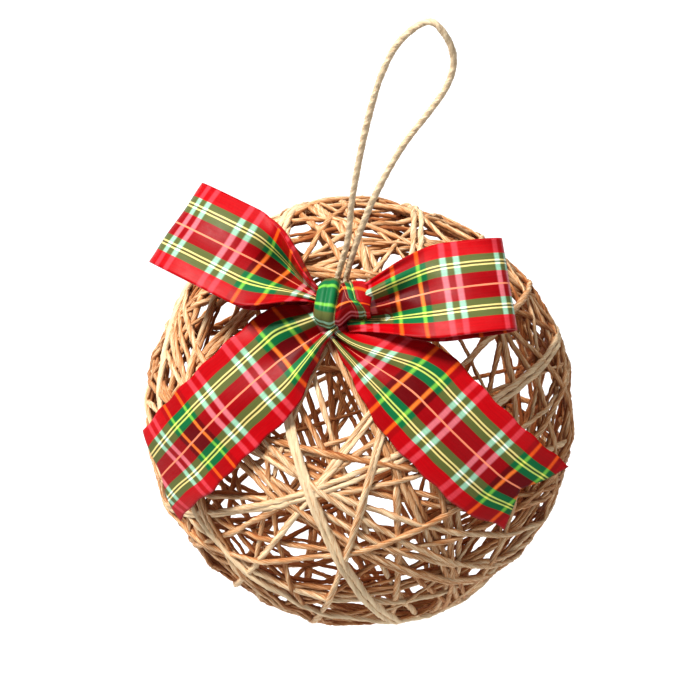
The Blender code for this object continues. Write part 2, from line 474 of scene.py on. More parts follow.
@dataclass(frozen=True)
class TwineFinish:
    """Jute twine: long pale and brown fibres, dull, with a little glue on it, and painted shade in the
    grooves between its plies and on its sides that face in toward the ball's centre.
    """

    name: str
    # Painted shade for the grooves between the plies.
    groove_shade: Colour
    shade: Colour
    body: Colour
    light: Colour
    roughness: float
    plies: int = 2
    # How much of the painted groove shade shows.
    groove_shade_share: float = 0.20
    # How far painted shade darkens the sides that face in toward the ball's centre.
    inward_painted_shade: float = 0.19
    tone_reach: float = 0.19
    patch_reach: float = 0.08
    stops: tuple[float, float, float] = (0.31, 0.50, 0.67)
    relief_strength: float = 0.8
    relief_depth: float = 0.00020

    def material(self) -> bpy.types.Material:
        """The finish as a material.

        Returns:
            The new material.
        """
        material = bpy.data.materials.new(self.name)
        material.use_nodes = True
        tree = Nodes(material.node_tree)
        shader = material.node_tree.nodes["Principled BSDF"]
        streaks = tree.add("ShaderNodeGroup", node_tree=FibreStreaks.build().tree)
        tree.tree.links.new(tree.attribute("strand", "Vector"), streaks.inputs["Strand"])
        streaks.inputs["Plies"].default_value = self.plies
        streak, patch, groove_shade, height = streaks.outputs
        parts = (
            tree.remap(tree.attribute("tone", "Fac"), 0.0, 1.0, -self.tone_reach, self.tone_reach),
            tree.remap(patch, 0.3, 0.7, -self.patch_reach, self.patch_reach),
            # Painted shade: darker on the sides of a twine that face in toward the ball's centre, a touch
            # lighter on the sides that face out.
            tree.remap(tree.attribute("facing", "Fac"), -0.8, 0.7, -self.inward_painted_shade, 0.02),
        )
        level = streak
        for part in parts:
            level = tree.math("ADD", level, part)
        colour = tree.ramp(level, list(zip(self.stops, (self.shade, self.body, self.light))))
        # Painted shade: the groove colour mixed in where the plies meet.
        colour = tree.mix(tree.math("MULTIPLY", groove_shade, self.groove_shade_share), colour, self.groove_shade)
        rough = tree.remap(patch, 0.35, 0.7, self.roughness - 0.14, self.roughness)
        tree.dress(shader, colour, rough, height, self.relief_strength, self.relief_depth)
        shader.inputs["Specular IOR Level"].default_value = 0.16
        shader.inputs["Sheen Weight"].default_value = 0.10
        shader.inputs["Sheen Roughness"].default_value = 0.5
        shader.inputs["Sheen Tint"].default_value = (*self.light, 1.0)
        return material


@dataclass(frozen=True)
class Crossing:
    """One weft stripe of the tartan and its colour on each kind of warp."""

    on_edge: Colour
    on_middle: Colour
    on_green: Colour
    on_cream: Colour


RED_WEFT = Crossing(
    on_edge=linear(170, 0, 8), on_middle=linear(139, 0, 7),
    on_green=linear(84, 90, 44), on_cream=linear(218, 200, 124))
GREEN_WEFT = Crossing(
    on_edge=linear(150, 0, 6), on_middle=linear(92, 0, 4),
    on_green=linear(10, 94, 50), on_cream=linear(184, 200, 96))
WHITE_WEFT = Crossing(
    on_edge=linear(200, 54, 64), on_middle=linear(206, 104, 112),
    on_green=linear(142, 190, 160), on_cream=linear(240, 242, 224))
ORANGE_WEFT = Crossing(
    on_edge=linear(230, 82, 18), on_middle=linear(234, 112, 40),
    on_green=linear(106, 176, 60), on_cream=linear(236, 226, 104))


@dataclass(frozen=True)
class TartanFinish:
    """Woven tartan ribbon: coloured warps along it, coloured wefts across it, and a satin sheen."""

    name: str = "tartan_ribbon_weave"
    blush: Colour = linear(244, 142, 104)
    gap: Colour = linear(64, 44, 16)
    ends: float = 96.0
    picks: float = 140.0
    roughness: float = 0.40
    wefts: tuple[tuple[float, Crossing], ...] = (
        (0.0, RED_WEFT), (0.124, WHITE_WEFT), (0.164, RED_WEFT), (0.214, WHITE_WEFT), (0.254, RED_WEFT),
        (0.355, GREEN_WEFT), (0.399, ORANGE_WEFT), (0.425, GREEN_WEFT), (0.575, ORANGE_WEFT),
        (0.601, GREEN_WEFT), (0.645, RED_WEFT), (0.746, WHITE_WEFT), (0.786, RED_WEFT),
        (0.836, WHITE_WEFT), (0.876, RED_WEFT),
    )
    edge_width: float = 0.165
    green_width: float = 0.195
    line_places: tuple[float, float] = (0.243, 0.281)
    line_width: float = 0.017
    centre_line: tuple[float, float] = (0.488, 0.494)
    blush_share: float = 0.85
    gap_share: float = 0.55
    weft_softness: float = 0.006
    warp_softness: float = 0.003
    waver: float = 0.006
    relief_strength: float = 0.35
    relief_depth: float = 0.00003

    def weft_stops(self, pick: Callable[[Crossing], Colour]) -> list[tuple[float, Colour]]:
        """Stops of the weft colours along one repeat, with slightly soft edges.

        Args:
            pick: Takes the colour for one kind of warp from a crossing.

        Returns:
            The stops of a ramp.
        """
        stops = [(0.0, pick(self.wefts[0][1]))]
        for (_, before), (start, after) in zip(self.wefts, self.wefts[1:]):
            stops.append((start - self.weft_softness, pick(before)))
            stops.append((start + self.weft_softness, pick(after)))
        return stops

    def stripe(self, tree: Nodes, across: Any, low: float, high: float) -> Socket:
        """A mask that is 1 between two distances from the ribbon's nearer edge.

        Args:
            tree: The material's nodes.
            across: The distance from the nearer edge, as a share of the width.
            low: Where the stripe starts.
            high: Where it ends.

        Returns:
            The mask's socket.
        """
        soft = self.warp_softness
        rise = tree.remap(across, low - soft, low + soft)
        fall = tree.remap(across, high - soft, high + soft, 1.0, 0.0)
        return tree.math("MULTIPLY", rise, fall)

    def material(self) -> bpy.types.Material:
        """The finish as a material.

        Returns:
            The new material.
        """
        material = bpy.data.materials.new(self.name)
        material.use_nodes = True
        tree = Nodes(material.node_tree)
        shader = material.node_tree.nodes["Principled BSDF"]
        place = tree.add("ShaderNodeUVMap", uv_map="UVMap").outputs["UV"]
        waver = tree.math("MULTIPLY_ADD", tree.noise(place, 9.0, 1.0), self.waver, -self.waver / 2)
        across, along, _ = tree.add("ShaderNodeSeparateXYZ", {0: place}).outputs
        across = tree.math("ADD", across, waver)
        along = tree.math("FRACT", tree.math("ADD", along, waver))
        edge = tree.math("SUBTRACT", 0.5, tree.math("ABSOLUTE", tree.math("SUBTRACT", across, 0.5)))
        on_edge, on_middle, on_green, on_cream = (
            tree.ramp(along, self.weft_stops(attrgetter(warp)))
            for warp in ("on_edge", "on_middle", "on_green", "on_cream")
        )
        green_end = self.edge_width + self.green_width
        first, second = self.line_places
        half = self.line_width / 2
        soft = self.warp_softness
        colour = tree.mix(tree.remap(edge, green_end - soft, green_end + soft), on_edge, on_middle)
        colour = tree.mix(self.stripe(tree, edge, self.edge_width, green_end), colour, on_green)
        gap = tree.math("MULTIPLY", self.stripe(tree, edge, first + half, second - half), self.gap_share)
        colour = tree.mix(gap, colour, self.gap)
        for line in self.line_places:
            colour = tree.mix(self.stripe(tree, edge, line - half, line + half), colour, on_cream)
        centre = tree.math("MULTIPLY", tree.remap(edge, *self.centre_line), self.blush_share)
        colour = tree.mix(centre, colour, self.blush)
        warp_threads = tree.math("MULTIPLY", across, self.ends)
        weft_threads = tree.math("MULTIPLY", along, self.picks)
        twill = tree.math("FRACT", tree.math("ADD", warp_threads, weft_threads))
        streak = tree.noise(tree.vector("MULTIPLY", place, (60.0, 3.0, 1.0)), 1.0, 2.0)
        wear = tree.remap(streak, 0.3, 0.7, 0.90, 1.08)
        wear = tree.math("MULTIPLY", wear, tree.remap(twill, 0.35, 0.65, 0.86, 1.12))
        colour = tree.vector("SCALE", colour, scale=wear)
        ridge = tree.math("SINE", tree.math("MULTIPLY", weft_threads, math.tau))
        rib = tree.math("SINE", tree.math("MULTIPLY", warp_threads, math.tau))
        height = tree.math("MULTIPLY_ADD", ridge, 0.5, tree.math("MULTIPLY", rib, 0.5))
        rough = tree.remap(
            tree.noise(place, 14.0, 2.0), 0.3, 0.7, self.roughness - 0.05, self.roughness + 0.07)
        tree.dress(shader, colour, rough, height, self.relief_strength, self.relief_depth)
        shader.inputs["Specular IOR Level"].default_value = 0.11
        return material


@dataclass(frozen=True)
class FloorFinish:
    """A pale matt studio floor."""

    name: str = "studio_floor"
    colour: Colour = (0.86, 0.86, 0.87)

    def material(self) -> bpy.types.Material:
        """The finish as a material.

        Returns:
            The new material.
        """
        material = bpy.data.materials.new(self.name)
        material.use_nodes = True
        tree = Nodes(material.node_tree)
        shader = material.node_tree.nodes["Principled BSDF"]
        place = tree.add("ShaderNodeTexCoord").outputs["Object"]
        soft = tree.remap(tree.noise(place, 3.0, 3.0), 0.3, 0.7, 0.985, 1.0)
        colour = tree.vector("SCALE", self.colour, scale=soft)
        tree.tree.links.new(colour, shader.inputs["Base Color"])
        shader.inputs["Roughness"].default_value = 0.8
        return material


# Twine

class Lay(Enum):
    """How a twine lies on what carries it."""

    GLUED = 0.20
    FREE = 0.0


class TwineSpinner:
    """Geometry tree: spins a plied twine along curves."""

    group: Group | None = None

    @classmethod
    def build(cls) -> Group:
        """The tree, made once.

        Returns:
            The tree.
        """
        if cls.group is not None:
            return cls.group
        tree = Group(
            "spin_twine", "GeometryNodeTree",
            [
                ("Geometry", "NodeSocketGeometry"), ("Width", "NodeSocketFloat"),
                ("Flatness", "NodeSocketFloat"), ("Ply Depth", "NodeSocketFloat"),
                ("Plies", "NodeSocketInt"), ("Twist Pitch", "NodeSocketFloat"),
                ("Unevenness", "NodeSocketFloat"), ("Fray", "NodeSocketFloat"),
                ("Sides", "NodeSocketInt"), ("Centre", "NodeSocketVector"),
                ("Material", "NodeSocketMaterial"),
            ],
            [("Geometry", "NodeSocketGeometry")],
        )
        given = tree.given
        along = tree.add("GeometryNodeSplineParameter")
        total = tree.add("GeometryNodeSplineLength").outputs["Length"]
        twists = tree.math("ROUND", tree.math("DIVIDE", total, given["Twist Pitch"]))
        tilt = tree.math("MULTIPLY", tree.math("MULTIPLY", along.outputs["Factor"], twists), math.tau)
        marked = tree.capture(
            given["Geometry"], tone=("FLOAT", tree.add("GeometryNodeInputCurveTilt").outputs[0]))
        curve = tree.add("GeometryNodeSetCurveTilt", {"Curve": marked["geometry"], "Tilt": tilt})
        place = tree.add("GeometryNodeInputPosition").outputs[0]
        held = tree.capture(
            curve.outputs["Curve"],
            line=("VECTOR", place),
            tangent=("VECTOR", tree.add("GeometryNodeInputTangent").outputs[0]),
            length=("FLOAT", along.outputs["Length"]),
            tone=("FLOAT", marked["tone"]),
        )
        uneven = tree.noise(place, 130.0, 3.0)
        scale = tree.math(
            "MULTIPLY_ADD", tree.math("SUBTRACT", uneven, 0.5), given["Unevenness"], 1.0,
        )
        scale = tree.math("MULTIPLY", scale, tree.add("GeometryNodeInputRadius").outputs[0])
        rim = tree.add("GeometryNodeCurvePrimitiveCircle", {"Resolution": given["Sides"], "Radius": 1.0})
        parts = tree.add("ShaderNodeSeparateXYZ", {0: place}).outputs
        angle = tree.math("MULTIPLY", tree.math("ARCTAN2", parts[1], parts[0]), given["Plies"])
        lobe = tree.math("MULTIPLY_ADD", tree.math("COSINE", angle), given["Ply Depth"], 1.0)
        profile = tree.capture(rim.outputs["Curve"], rim=("VECTOR", place))
        shaped = tree.add("GeometryNodeSetPosition", {
            "Geometry": profile["geometry"],
            "Position": tree.vector("SCALE", place, scale=tree.math(
                "MULTIPLY", lobe, tree.math("DIVIDE", given["Width"], 2.0))),
        })
        tube = tree.add("GeometryNodeCurveToMesh", {
            "Curve": held["geometry"], "Profile Curve": shaped.outputs["Geometry"],
            "Scale": scale, "Fill Caps": True,
        }).outputs["Mesh"]
        offset = tree.vector("SUBTRACT", place, held["line"])
        outward = tree.vector("NORMALIZE", tree.vector("SUBTRACT", held["line"], given["Centre"]))
        height = tree.vector("DOT_PRODUCT", offset, outward)
        press = tree.vector("SCALE", outward, scale=tree.math(
            "MULTIPLY", height, tree.math("MULTIPLY", given["Flatness"], -1.0)))
        tube = tree.add("GeometryNodeSetPosition", {"Geometry": tube, "Offset": press}).outputs["Geometry"]
        rim_parts = tree.add("ShaderNodeSeparateXYZ", {0: profile["rim"]}).outputs
        shifted = tree.math("MULTIPLY_ADD", held["tone"], 3.0, held["length"])
        strand = tree.add("ShaderNodeCombineXYZ", {0: rim_parts[0], 1: rim_parts[1], 2: shifted}).outputs[0]
        tuft = tree.noise(tree.vector("MULTIPLY", strand, (2.2, 2.2, 420.0)), 1.0, 3.0, 0.6)
        push = tree.math("MULTIPLY", tree.math("SUBTRACT", tuft, 0.5), given["Fray"])
        away = tree.vector("SCALE", tree.vector("NORMALIZE", offset), scale=push)
        tube = tree.add("GeometryNodeSetPosition", {"Geometry": tube, "Offset": away}).outputs["Geometry"]
        tube = tree.store(tube, "strand", "FLOAT_VECTOR", strand)
        tube = tree.store(tube, "tone", "FLOAT", held["tone"])
        # Which way each point faces from the ball's centre, read by the finish for its painted shade on the
        # inward sides.
        facing = tree.vector("DOT_PRODUCT", tree.vector("NORMALIZE", offset), outward)
        tube = tree.store(tube, "facing", "FLOAT", facing)
        tube = tree.store(tube, "lay", "FLOAT_VECTOR", held["tangent"])
        tube = tree.add("GeometryNodeSetShadeSmooth", {"Geometry": tube}).outputs["Geometry"]
        tube = tree.add("GeometryNodeRealizeInstances", {"Geometry": tube}).outputs["Geometry"]
        tube = tree.add("GeometryNodeSetMaterial", {"Geometry": tube, "Material": given["Material"]})
        tree.give("Geometry", tube.outputs["Geometry"])
        cls.group = tree
        return tree


class FibreScatter:
    """Geometry tree: stray fibres that stand off a twine's surface."""

    group: Group | None = None

    @classmethod
    def build(cls) -> Group:
        """The tree, made once.

        Returns:
            The tree.
        """
        if cls.group is not None:
            return cls.group
        tree = Group(
            "stray_fibres", "GeometryNodeTree",
            [
                ("Geometry", "NodeSocketGeometry"), ("Density", "NodeSocketFloat"),
                ("Fibre Length", "NodeSocketFloat"), ("Fibre Width", "NodeSocketFloat"),
                ("Stand Off", "NodeSocketFloat"), ("Seed", "NodeSocketInt"),
                ("Material", "NodeSocketMaterial"),
            ],
            [("Geometry", "NodeSocketGeometry")],
        )
        given = tree.given
        points = tree.add("GeometryNodeDistributePointsOnFaces", {
            "Mesh": given["Geometry"], "Density": given["Density"], "Seed": given["Seed"],
        })
        lay, strand, tone = (
            tree.add("GeometryNodeInputNamedAttribute", {"Name": name}, data_type=kind).outputs["Attribute"]
            for name, kind in (("lay", "FLOAT_VECTOR"), ("strand", "FLOAT_VECTOR"), ("tone", "FLOAT"))
        )
        side = tree.add("FunctionNodeRandomValue", {
            "Min": (-1.0, -1.0, -1.0), "Max": (1.0, 1.0, 1.0), "Seed": given["Seed"],
        }, data_type="FLOAT_VECTOR").outputs[0]
        lean = tree.vector("ADD", lay, tree.vector("SCALE", side, scale=0.7))
        aim = tree.vector("ADD", lean, tree.vector(
            "SCALE", points.outputs["Normal"], scale=given["Stand Off"]))
        held = tree.capture(points.outputs["Points"], strand=("VECTOR", strand), tone=("FLOAT", tone))
        turned = tree.add("FunctionNodeAlignRotationToVector", {"Vector": aim}, axis="Z").outputs[0]
        size = tree.add("FunctionNodeRandomValue", {
            "Min_001": 0.35, "Max_001": 1.0, "Seed": given["Seed"],
        }, data_type="FLOAT").outputs[1]
        bend = tree.add("ShaderNodeCombineXYZ", {
            0: tree.math("MULTIPLY", given["Fibre Length"], 0.35), 1: 0.0, 2: given["Fibre Length"],
        }).outputs[0]
        first = tree.add("ShaderNodeCombineXYZ", {
            2: tree.math("MULTIPLY", given["Fibre Length"], 0.4)}).outputs[0]
        second = tree.add("ShaderNodeCombineXYZ", {
            2: tree.math("MULTIPLY", given["Fibre Length"], 0.8)}).outputs[0]
        line = tree.add("GeometryNodeCurvePrimitiveBezierSegment", {
            "Resolution": 3, "Start": (0.0, 0.0, 0.0), "Start Handle": first,
            "End Handle": second, "End": bend,
        }).outputs["Curve"]
        rim = tree.add("GeometryNodeCurvePrimitiveCircle", {
            "Resolution": 3, "Radius": tree.math("DIVIDE", given["Fibre Width"], 2.0)}).outputs["Curve"]
        taper = tree.remap(
            tree.add("GeometryNodeSplineParameter").outputs["Factor"], 0.0, 1.0, 1.0, 0.3)
        fibre = tree.add("GeometryNodeCurveToMesh", {
            "Curve": line, "Profile Curve": rim, "Scale": taper, "Fill Caps": True,
        }).outputs["Mesh"]
        placed = tree.add("GeometryNodeInstanceOnPoints", {
            "Points": held["geometry"], "Instance": fibre, "Rotation": turned, "Scale": size,
        }).outputs["Instances"]
        whole = tree.add("GeometryNodeRealizeInstances", {"Geometry": placed}).outputs["Geometry"]
        whole = tree.store(whole, "strand", "FLOAT_VECTOR", held["strand"])
        whole = tree.store(whole, "tone", "FLOAT", held["tone"])
        whole = tree.add("GeometryNodeSetMaterial", {"Geometry": whole, "Material": given["Material"]})
        tree.give("Geometry", whole.outputs["Geometry"])
        cls.group = tree
        return tree


def curve_of(
    name: str, routes: Sequence[Sequence[Vector]], widths: Sequence[float], tones: Sequence[float],
    closed: bool,
) -> bpy.types.Object:
    """A curve object with one poly spline for each route.

    Args:
        name: The object's name.
        routes: The points of each spline.
        widths: How wide each run is, as a share of the twine's width.
        tones: How light each run is, 0 to 1. The spline's tilt carries it until the twine is spun.
        closed: Whether each spline runs back to its start.

    Returns:
        The curve object.
    """
    curve = bpy.data.curves.new(name, "CURVE")
    curve.dimensions = "3D"
    for route, width, tone in zip(routes, widths, tones):
        spline = curve.splines.new("POLY")
        spline.points.add(len(route) - 1)
        spline.points.foreach_set("radius", [width] * len(route))
        spline.points.foreach_set("tilt", [tone] * len(route))
        spline.points.foreach_set("co", [value for point in route for value in (*point, 1.0)])
        spline.use_cyclic_u = closed
    obj = bpy.data.objects.new(name, curve)
    bpy.context.scene.collection.objects.link(obj)
    return obj


@dataclass
class Twine:
    """One kind of twine: its make and its finish."""

    width: float
    finish: TwineFinish
    lay: Lay
    ply_depth: float = 0.030
    twist_pitch: float = 0.0200
    unevenness: float = 1.05
    fray: float = 0.00110
    sides: int = 12
    fibre_density: float = 42000.0
    fibre_length: float = 0.0032
    fibre_width: float = 0.00011
    stand_off: float = 0.45

    def __post_init__(self) -> None:
        """Make the finish's material once."""
        self.material = self.finish.material()

    def spin(
        self, name: str, routes: Sequence[Sequence[Vector]], widths: Sequence[float], tones: Sequence[float],
        closed: bool,
    ) -> bpy.types.Object:
        """Spin the twine along routes.

        Args:
            name: The piece's name.
            routes: The points of each run of twine.
            widths: How wide each run is, as a share of the twine's width.
            tones: How light each run is, 0 to 1.
            closed: Whether each run closes on itself.

        Returns:
            The finished piece.
        """
        return bake(name, curve_of(name + "_line", routes, widths, tones, closed), TwineSpinner.build(), {
            "Width": self.width, "Flatness": self.lay.value, "Ply Depth": self.ply_depth,
            "Plies": self.finish.plies, "Twist Pitch": self.twist_pitch,
            "Unevenness": self.unevenness, "Fray": self.fray, "Sides": self.sides,
            "Centre": tuple(LAYOUT.centre), "Material": self.material,
        })

    def fibres(self, name: str, twine: bpy.types.Object, seed: int) -> bpy.types.Object:
        """Scatter stray fibres over a piece of the twine.

        Args:
            name: The new piece's name.
            twine: The finished twine.
            seed: The seed of the scatter.

        Returns:
            The stray fibres as a piece of their own.
        """
        source = bpy.data.objects.new(name + "_source", twine.data)
        bpy.context.scene.collection.objects.link(source)
        return bake(name, source, FibreScatter.build(), {
            "Density": self.fibre_density, "Fibre Length": self.fibre_length,
            "Fibre Width": self.fibre_width, "Stand Off": self.stand_off, "Seed": seed,
            "Material": self.material,
        })


# The hanging loop

@dataclass
class HangingLoop:
    """The loop of thin twine that the ornament hangs by."""

    twine: Twine
    curve_steps: int = 24
    spacing: float = 0.0009
    left: tuple[tuple[float, float, float], ...] = (
        (-0.0100, -0.0084, -0.0620), (-0.0105, -0.0068, -0.0500), (-0.0103, -0.0049, -0.0360),
        (-0.0096, -0.0033, -0.0240), (-0.0082, -0.0019, -0.0135), (-0.0054, -0.0007, -0.0050),
    )
    right: tuple[tuple[float, float, float], ...] = (
        (0.0048, -0.0004, -0.0026), (0.0072, -0.0011, -0.0085), (0.0066, -0.0020, -0.0150),
        (0.0039, -0.0030, -0.0220), (-0.0013, -0.0046, -0.0340), (-0.0056, -0.0067, -0.0490),
        (-0.0078, -0.0084, -0.0620),
    )

    def strand_foot(self, side: int) -> list[Vector]:
        """One end of the loop, from its tip under the foot's turn to where it leaves the ball.

        Args:
            side: -1 for the left strand, 1 for the right.

        Returns:
            Its points.
        """
        lay = LAYOUT
        right, back = side_frame(lay.foot_normal)
        inner_face = (lay.ball_radius - lay.wall_depth) * math.cos(math.pi / lay.turn_segments)
        under = inner_face - lay.loop_twine / 2 - 3 * lay.clearance
        beside = lay.centre + right * side * (lay.loop_twine + lay.clearance) / 2
        tip = beside + lay.foot_normal * under + back * (lay.foot_offset + lay.band_width / 2)
        corner = beside + lay.foot_normal * under
        gap = beside + lay.foot_normal * (lay.ball_radius - lay.wall_depth / 2)
        over = beside + lay.foot_normal * (lay.ball_radius + lay.loop_twine)
        return [tip, corner, gap, over]

    def route(self) -> list[Vector]:
        """The loop's line: up from under the foot's turn, round the hook and back down.

        Returns:
            The points.
        """
        bearing = Vector((0.0, 0.0, LAYOUT.loop_twine / 2))
        points = self.strand_foot(-1) + [Vector(p) for p in self.left] + [bearing]
        points += [Vector(p) for p in self.right] + self.strand_foot(1)[::-1]
        ends = [points[0] * 2 - points[1]] + points + [points[-1] * 2 - points[-2]]
        fine = []
        for index in range(1, len(ends) - 2):
            p0, p1, p2, p3 = ends[index - 1:index + 3]
            for step in range(self.curve_steps):
                t = step / self.curve_steps
                fine.append(
                    (p1 * 2 + (p2 - p0) * t + (p0 * 2 - p1 * 5 + p2 * 4 - p3) * t ** 2
                     + (p1 * 3 - p0 - p2 * 3 + p3) * t ** 3) / 2
                )
        fine.append(points[-1])
        return even_spacing(fine, self.spacing)

    def build(self) -> bpy.types.Object:
        """Returns:
            The finished piece.
        """
        route = self.route()
        length = sum((b - a).length for a, b in zip(route, route[1:]))
        piece = self.twine.spin("hanging_loop_twine", [route], [1.0], [0.6], False)
        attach(piece, "root")
        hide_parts("hanging_loop")
        fibres = self.twine.fibres("hanging_loop_fibres", piece, 6)
        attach(fibres, "root")
        tuple(route[0])
        [tuple(p) for p in route]
        log.info("hanging loop: %.3f m of twine, %d faces", length, len(piece.data.polygons))
        return piece


def even_spacing(fine: Sequence[Vector], spacing: float) -> list[Vector]:
    """Evenly spaced points along a fine line.

    Args:
        fine: The line's own points.
        spacing: The distance between the new points.

    Returns:
        The new points, with both ends kept.
    """
    length = sum((b - a).length for a, b in zip(fine, fine[1:]))
    count = round(length / spacing)
    route = [fine[0]]
    travelled = 0.0
    for a, b in zip(fine, fine[1:]):
        piece = (b - a).length
        while len(route) < count and travelled + piece >= length * len(route) / count:
            route.append(a.lerp(b, (length * len(route) / count - travelled) / piece))
        travelled += piece
    route.append(fine[-1])
    return route


# The ball

@dataclass
class Turn:
    """One turn of twine round the ball."""

    pole: Vector
    width: float
    aside: float = 0.0
    sway: float = 0.0
    waves: tuple[float, ...] = ()
    tone: float = 0.5

    @property
    def axes(self) -> tuple[Vector, Vector]:
        """The turn's own plane. A pole close to +X has no side toward +X.

        Returns:
            Two unit vectors in the plane, at right angles.
        """
        if abs(self.pole.x) < 0.95:
            return side_frame(self.pole)
        right = self.pole.orthogonal().normalized()
        return right, self.pole.cross(right)

    def direction(self, share: float) -> Vector:
        """Where on the ball the turn is, a share of the way round.

        Args:
            share: From 0 to 1.

        Returns:
            A unit vector from the ball's centre.
        """
        right, back = self.axes
        angle = math.tau * share
        offset = self.aside
        for index, phase in enumerate(self.waves):
            offset += self.sway / (index + 1) * math.sin((index + 1) * angle + phase)
        tip = offset / LAYOUT.ball_radius
        flat = right * math.cos(angle) + back * math.sin(angle)
        return (flat * math.cos(tip) + self.pole * math.sin(tip)).normalized()


@dataclass(frozen=True)
class Course:
    """One chosen turn, or pair of turns, of the winding: where it lies and when it is laid."""

    azimuth: float
    elevation: float
    order: float
    gap: float = 0.0021
    width: float = 0.92
    tone: float = 0.5

    @property
    def pole(self) -> Vector:
        """The pole of its circle round the ball."""
        return polar_direction(self.azimuth, 90.0 - self.elevation)


@dataclass
class TwineBall:
    """The openwork ball: many turns of twine, each laid over the ones before it.

    The seeded turns keep clear of one open place, whose course says where its own turn would lie.
    """

    twine: Twine
    seed: int = 11
    crown_phase: float = 33.0
    foot_course: Course = Course(0.0, 0.0, 2.4)
    front_courses: tuple[Course, ...] = (
        Course(6, 29, 3.6, 0.0014, 0.98, 0.95), Course(25, 61, 2.5, 0.0019, 0.9, 0.6),
        Course(-35, 38, 2.7, 0.0018, 0.88, 0.6), Course(182, 7, 3.1, 0.0013, 0.80, 0.8),
        Course(162, 19, 2.45, 0.0013, 0.82, 0.95), Course(142, 46, 2.6, 0.0019, 0.9, 0.9),
        Course(78, 60, 1.6), Course(-48, 42, 0.9), Course(-104, 30, 0.5), Course(-149, 75, 1.3),
    )
    crown_orders: tuple[float, ...] = (1.9, 0.2, 1.4, 0.8)
    single_courses: tuple[Course, ...] = (
        Course(35.7, 54.2, 2.9, 0.0), Course(90.0, 54.4, 2.8, 0.0),
        Course(56.6, 60.9, 2.3, 0.0, 0.85), Course(18.0, 5.0, 1.7, 0.0, 1.0),
        Course(-173.0, 34.0, 1.5, 0.0, 0.8), Course(99.0, 54.4, 1.2, 0.0, 0.9),
        Course(31.8, 9.0, 2.0, 0.0, 0.9), Course(-12.1, 19.6, 2.2, 0.0, 0.8),
        Course(163.8, 61.7, 2.9, 0.0, 1.0), Course(138.6, 77.9, 2.1, 0.0, 0.9),
        Course(-69.8, 78.5, 1.8, 0.0, 1.0), Course(21.5, 35.6, 1.6, 0.0, 0.8),
        Course(16.0, 24.3, 1.0, 0.0, 0.8), Course(150.8, 33.4, 2.4, 0.0, 0.9),
    )
    rim_courses: tuple[Course, ...] = (
        Course(-40.3, 60.5, 3.2, 0.0, 1.12, 1.0), Course(37.5, 62.7, 2.1, 0.0, 0.95, 0.65),
    )
    open_place: Course = Course(-158.6, 42.3, 0.0)
    open_reach: float = 0.0068
    seeded_turns: int = 23
    pair_sway: float = 0.00050
    steps: int = 330
    base_radius: float = 0.0551
    crossing: float = 0.0011
    most_rise: float = 0.0019
    contact_widths: float = 1.15
    along_ease: float = 0.3
    slope: float = 0.34
    piece_count: int = 6
    foot_room: float = 0.0067
    pole_tries: int = 6
    single_sway: float = 0.0006
    rim_sway: float = 0.0005

    def main_poles(self) -> list[Vector]:
        """Poles of the main turns, as the solid has them.

        Returns:
            The foot's, the front ones' and the crown's.
        """
        lay = LAYOUT
        right, back = side_frame(lay.foot_normal)
        lean = math.asin(lay.foot_offset / lay.ball_radius)
        poles = [back * math.cos(lean) - lay.foot_normal * math.sin(lean)]
        poles += [course.pole for course in self.front_courses]
        frame_distance = lay.band_width + lay.loop_twine + 4 * lay.clearance + lay.band_width / 2
        lean = math.asin(frame_distance / lay.ball_radius)
        for index in range(len(self.crown_orders)):
            angle = math.radians(self.crown_phase + 360.0 * index / len(self.crown_orders))
            side = right * math.cos(angle) + back * math.sin(angle)
            poles.append(lay.foot_normal * math.sin(lean) + side * math.cos(lean))
        return poles

    @staticmethod
    def waves(rng: random.Random) -> tuple[float, ...]:
        """Phases of a turn's sway."""
        return tuple(rng.uniform(0, math.tau) for _ in range(3))

    @staticmethod
    def miss(pole: Vector, place: Vector) -> float:
        """How far a turn passes from a place on the ball, in metres."""
        return math.asin(pole.dot(place)) * LAYOUT.ball_radius

    def paired_turns(self, rng: random.Random) -> list[tuple[float, Turn]]:
        """Two turns side by side along each main turn of the solid.

        Args:
            rng: The ball's random numbers.

        Returns:
            For each turn, its order in the winding and the turn.
        """
        crown = [Course(0.0, 0.0, order) for order in self.crown_orders]
        placed = []
        for course, pole in zip([self.foot_course, *self.front_courses, *crown], self.main_poles()):
            for side in (-0.5, 0.5):
                width = course.width * rng.uniform(0.88, 1.08)
                tone = course.tone + rng.uniform(-0.2, 0.1)
                order = course.order + 0.1 * rng.random()
                placed.append((order, Turn(
                    pole, width, side * course.gap, self.pair_sway, self.waves(rng), tone)))
        return placed

    def free_poles(self, rng: random.Random) -> list[Vector]:
        """Poles for the seeded turns, each the one of a few that is farthest from the turns so far.

        Args:
            rng: The ball's random numbers.

        Returns:
            The poles.
        """
        free: list[Vector] = []
        taken = self.main_poles() + [course.pole for course in self.single_courses]
        while len(free) < self.seeded_turns:
            best, best_room = None, -1.0
            for _ in range(self.pole_tries):
                pole = Vector((rng.gauss(0, 1), rng.gauss(0, 1), rng.gauss(0, 1))).normalized()
                if abs(self.miss(pole, LAYOUT.foot_normal)) < self.foot_room:
                    continue
                room = min(1.0 - abs(pole.dot(other)) for other in taken + free)
                if room > best_room:
                    best, best_room = pole, room
            if best is not None:
                free.append(best)
        return free

    def turns(self) -> list[Turn]:
        """All turns of the ball.

        Returns:
            The turns in the order in which they are wound.
        """
        rng = random.Random(self.seed)
        placed = self.paired_turns(rng)
        for course in self.single_courses:
            tone = rng.uniform(0.3, 0.9)
            placed.append((course.order, Turn(
                course.pole, course.width, 0.0, self.single_sway, self.waves(rng), tone)))
        for pole in self.free_poles(rng):
